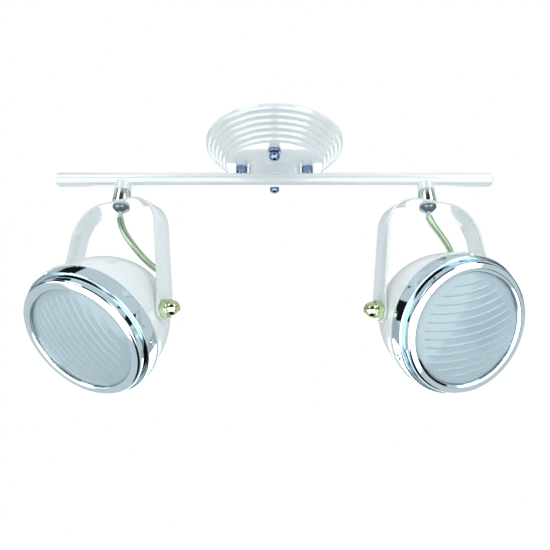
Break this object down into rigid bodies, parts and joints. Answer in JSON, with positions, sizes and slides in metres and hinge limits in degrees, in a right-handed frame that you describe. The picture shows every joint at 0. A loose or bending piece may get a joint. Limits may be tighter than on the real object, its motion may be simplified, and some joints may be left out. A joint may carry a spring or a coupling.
{
  "type": "ceiling or wall spotlight",
  "caption": "Swivelling and tilting round spotlight heads hung in bent strap yokes under a straight bar, fixed to a stepped ceiling or wall rose.",
  "frame": {"origin": "centre of the rose's mounting face", "axes": "+Z out of the mounting face, away from the lamp; +X along the bar; the heads look towards -Y and down"},
  "size_m": [0.4515, 0.1425, 0.2519],
  "materials": {
    "white_rose": "gloss white lacquer on spun steel",
    "plate_steel": "zinc-plated",
    "stud_steel": "zinc-plated",
    "chrome_nuts": "polished",
    "terminal_plastic": "moulded",
    "terminal_brass": "machined",
    "earth_brass": "machined",
    "white_bar": "gloss white lacquer on steel tube",
    "white_caps": "gloss, moulded",
    "white_saddle": "gloss white lacquer",
    "chrome_standoffs": "polished",
    "insert_steel": "machined",
    "screw_steel": "zinc-plated",
    "bushing_plastic": "moulded",
    "white_boss": "gloss white lacquer",
    "nickel_sleeve": "satin nickel plate on turned brass",
    "nipple_steel": "threaded tube, zinc-plated",
    "chrome_cap_nut": "polished",
    "white_strap": "gloss white lacquer on bent steel strap",
    "washer_plastic": "thin slip washers",
    "core_plastic": "pale braided sleeve",
    "cable_sheath": "dark translucent sheath, glossy",
    "frosted_lens": "frosted, pressed ribs",
    "gasket_rubber": "flat ring",
    "retainer_steel": "zinc-plated",
    "collar_plastic": "moulded to the shell's curve",
    "bolt_steel": "zinc-plated",
    "chrome_acorn": "polished",
    "bracket_steel": "zinc-plated",
    "holder_plastic": "moulded",
    "lamp_glass": "reflector lamp, frosted front",
    "gland_plastic": "moulded",
    "chrome_bezel": "polished, spun",
    "bezel_screw_steel": "nickel-plated, cross recess",
    "white_bowl": "gloss white lacquer on spun steel"
  },
  "bodies": {
    "fixture": {"canopy": "white_rose", "mounting_plate": "plate_steel", "plate_studs": "stud_steel", "ball_nuts": "chrome_nuts", "terminal_block": "terminal_plastic", "terminal_screws": "terminal_brass", "earth_screw": "earth_brass", "bar_tube": "white_bar", "bar_end_caps": "white_caps", "bar_saddle": "white_saddle", "bar_standoffs": "chrome_standoffs", "bar_insert": "insert_steel", "bar_screws": "screw_steel", "wire_bushing": "bushing_plastic", "left_bar_boss": "white_boss", "left_stem_sleeve": "nickel_sleeve", "left_swivel_nipple": "nipple_steel", "left_cap_nut": "chrome_cap_nut", "right_bar_boss": "white_boss", "right_stem_sleeve": "nickel_sleeve", "right_swivel_nipple": "nipple_steel", "right_cap_nut": "chrome_cap_nut"},
    "left_yoke_body": {"left_yoke": "white_strap", "left_swivel_washers": "washer_plastic", "left_lead_core": "core_plastic", "left_cable": "cable_sheath"},
    "left_head_body": {"left_bowl": "white_bowl", "left_bezel": "chrome_bezel", "left_bezel_screws": "bezel_screw_steel", "left_lens": "frosted_lens", "left_lens_gasket": "gasket_rubber", "left_retaining_ring": "retainer_steel", "left_pivot_collars": "collar_plastic", "left_pivot_bolts": "bolt_steel", "left_acorn_nuts": "chrome_acorn", "left_lamp_bracket": "bracket_steel", "left_lampholder": "holder_plastic", "left_holder_screws": "screw_steel", "left_bulb": "lamp_glass", "left_cable_gland": "gland_plastic"},
    "right_yoke_body": {"right_yoke": "white_strap", "right_swivel_washers": "washer_plastic", "right_lead_core": "core_plastic", "right_cable": "cable_sheath"},
    "right_head_body": {"right_bowl": "white_bowl", "right_bezel": "chrome_bezel", "right_bezel_screws": "bezel_screw_steel", "right_lens": "frosted_lens", "right_lens_gasket": "gasket_rubber", "right_retaining_ring": "retainer_steel", "right_pivot_collars": "collar_plastic", "right_pivot_bolts": "bolt_steel", "right_acorn_nuts": "chrome_acorn", "right_lamp_bracket": "bracket_steel", "right_lampholder": "holder_plastic", "right_holder_screws": "screw_steel", "right_bulb": "lamp_glass", "right_cable_gland": "gland_plastic"}
  },
  "joints": [
    {"name": "left_swivel", "type": "hinge", "parent": "fixture", "child": "left_yoke_body", "pos_m": [-0.1523, 0, -0.067], "axis": [0, 0, 1], "range_deg": [-144.6, 195.4]},
    {"name": "left_tilt", "type": "hinge", "parent": "left_yoke_body", "child": "left_head_body", "pos_m": [-0.1523, 0, -0.17792], "axis": [0.9033, -0.4289, 0], "range_deg": [-42, 58], "deforming": ["left_cable"]},
    {"name": "right_swivel", "type": "hinge", "parent": "fixture", "child": "right_yoke_body", "pos_m": [0.1523, 0, -0.067], "axis": [0, 0, 1], "range_deg": [-188.8, 151.2]},
    {"name": "right_tilt", "type": "hinge", "parent": "right_yoke_body", "child": "right_head_body", "pos_m": [0.1523, 0, -0.17792], "axis": [0.9466, 0.3223, 0], "range_deg": [-27.5, 72.5], "deforming": ["right_cable"]}
  ]
}
